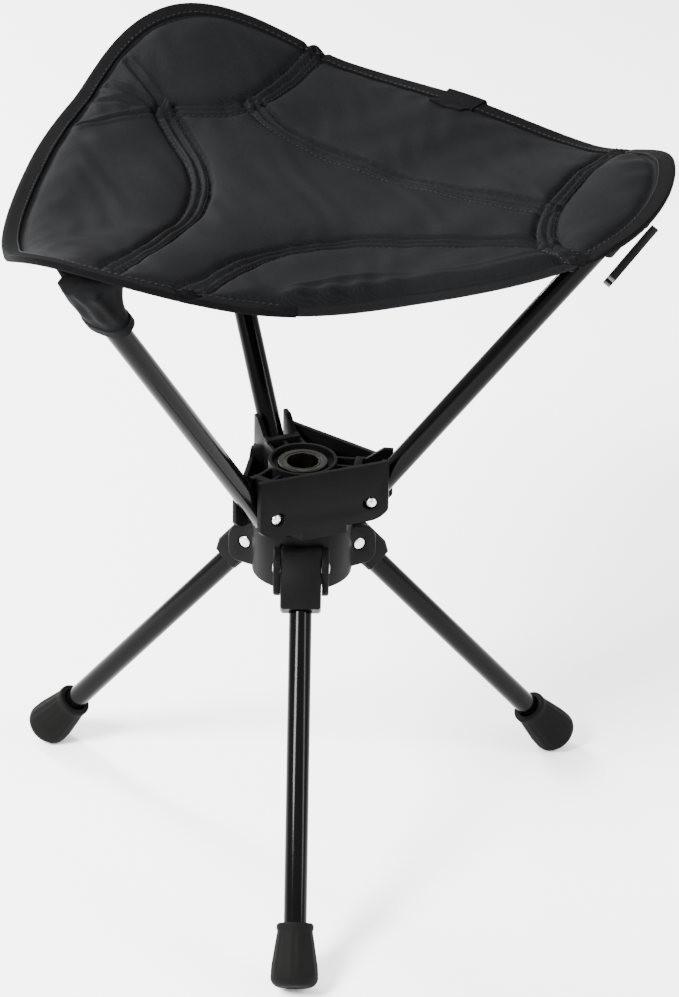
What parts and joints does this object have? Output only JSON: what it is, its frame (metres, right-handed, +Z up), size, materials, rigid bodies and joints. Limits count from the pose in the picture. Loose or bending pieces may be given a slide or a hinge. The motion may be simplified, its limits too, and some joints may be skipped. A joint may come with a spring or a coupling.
{
  "type": "three leg stool",
  "caption": "Folding field stool with swing-down tubular legs, a swivelling upper hub, swing-up arms and a triangular padded fabric seat.",
  "frame": {"origin": "middle of the footprint of the whole stool, on the ground", "axes": "+Z up along the swivel axis, -Y towards the front leg, +X towards the right arm"},
  "size_m": [0.4506, 0.4704, 0.5482],
  "materials": {
    "tube": "satin black powder coat on steel tube",
    "plastic": "satin black moulded nylon",
    "rubber": "matt black rubber",
    "rivet": "bright zinc plated steel",
    "spindle": "oiled steel, dull brownish",
    "fabric": "black coated oxford weave",
    "webbing": "black woven tape",
    "buckle": "black moulded plastic"
  },
  "bodies": {
    "base": {"lower_hub": "plastic", "spindle": "spindle", "thrust_washer": "rivet", "retaining_ring": "spindle"},
    "leg_front": {"leg_knuckle_front": "plastic", "leg_tube_front": "tube", "leg_rivet_front": "rivet", "foot_front": "rubber"},
    "leg_right": {"leg_knuckle_right": "plastic", "leg_tube_right": "tube", "leg_rivet_right": "rivet", "foot_right": "rubber"},
    "leg_left": {"leg_knuckle_left": "plastic", "leg_tube_left": "tube", "leg_rivet_left": "rivet", "foot_left": "rubber"},
    "upper": {"upper_hub": "plastic", "swivel_bushing": "plastic", "seat_panel": "fabric", "hanging_loop": "webbing"},
    "arm_left": {"arm_tube_left": "tube", "arm_rivet_left": "rivet", "arm_tail_plug_left": "plastic", "arm_tip_cap_left": "plastic", "corner_pocket_left": "fabric"},
    "arm_right": {"arm_tube_right": "tube", "arm_rivet_right": "rivet", "arm_tail_plug_right": "plastic", "arm_tip_cap_right": "plastic", "corner_pocket_right": "fabric", "strap_tab": "webbing", "strap_hook": "buckle"},
    "arm_back": {"arm_tube_back": "tube", "arm_rivet_back": "rivet", "arm_tail_plug_back": "plastic", "arm_tip_cap_back": "plastic", "corner_pocket_back": "fabric"}
  },
  "joints": [
    {"name": "leg_front_fold", "type": "hinge", "parent": "base", "child": "leg_front", "pos_m": [-0.0205, -0.0372, 0.2318], "axis": [1, 0, 0], "range_deg": [0, 40]},
    {"name": "leg_right_fold", "type": "hinge", "parent": "base", "child": "leg_right", "pos_m": [0.0105, 0.0165, 0.2318], "axis": [-0.5, 0.866, 0], "range_deg": [0, 40]},
    {"name": "leg_left_fold", "type": "hinge", "parent": "base", "child": "leg_left", "pos_m": [-0.0515, 0.0165, 0.2318], "axis": [-0.5, -0.866, 0], "range_deg": [0, 40]},
    {"name": "seat_swivel", "type": "hinge", "parent": "base", "child": "upper", "pos_m": [-0.0205, -0.0014, 0.26], "axis": [0, 0, 1], "continuous": true},
    {"name": "arm_left_fold", "type": "hinge", "parent": "upper", "child": "arm_left", "pos_m": [-0.05131, -0.04141, 0.2787], "axis": [-0.7923, 0.6101, 0], "range_deg": [0, 36.5], "deforming": ["seat_panel"]},
    {"name": "arm_right_fold", "type": "hinge", "parent": "upper", "child": "arm_right", "pos_m": [0.02956, -0.00808, 0.2787], "axis": [-0.1323, -0.9912, 0], "range_deg": [0, 36.5]},
    {"name": "arm_back_fold", "type": "hinge", "parent": "upper", "child": "arm_back", "pos_m": [-0.03974, 0.04529, 0.2787], "axis": [0.9245, 0.3811, 0], "range_deg": [0, 36.5]}
  ],
  "couplings": [
    {"joint": "arm_right_fold", "follows": "arm_left_fold", "ratio": 1},
    {"joint": "arm_back_fold", "follows": "arm_left_fold", "ratio": 1}
  ]
}
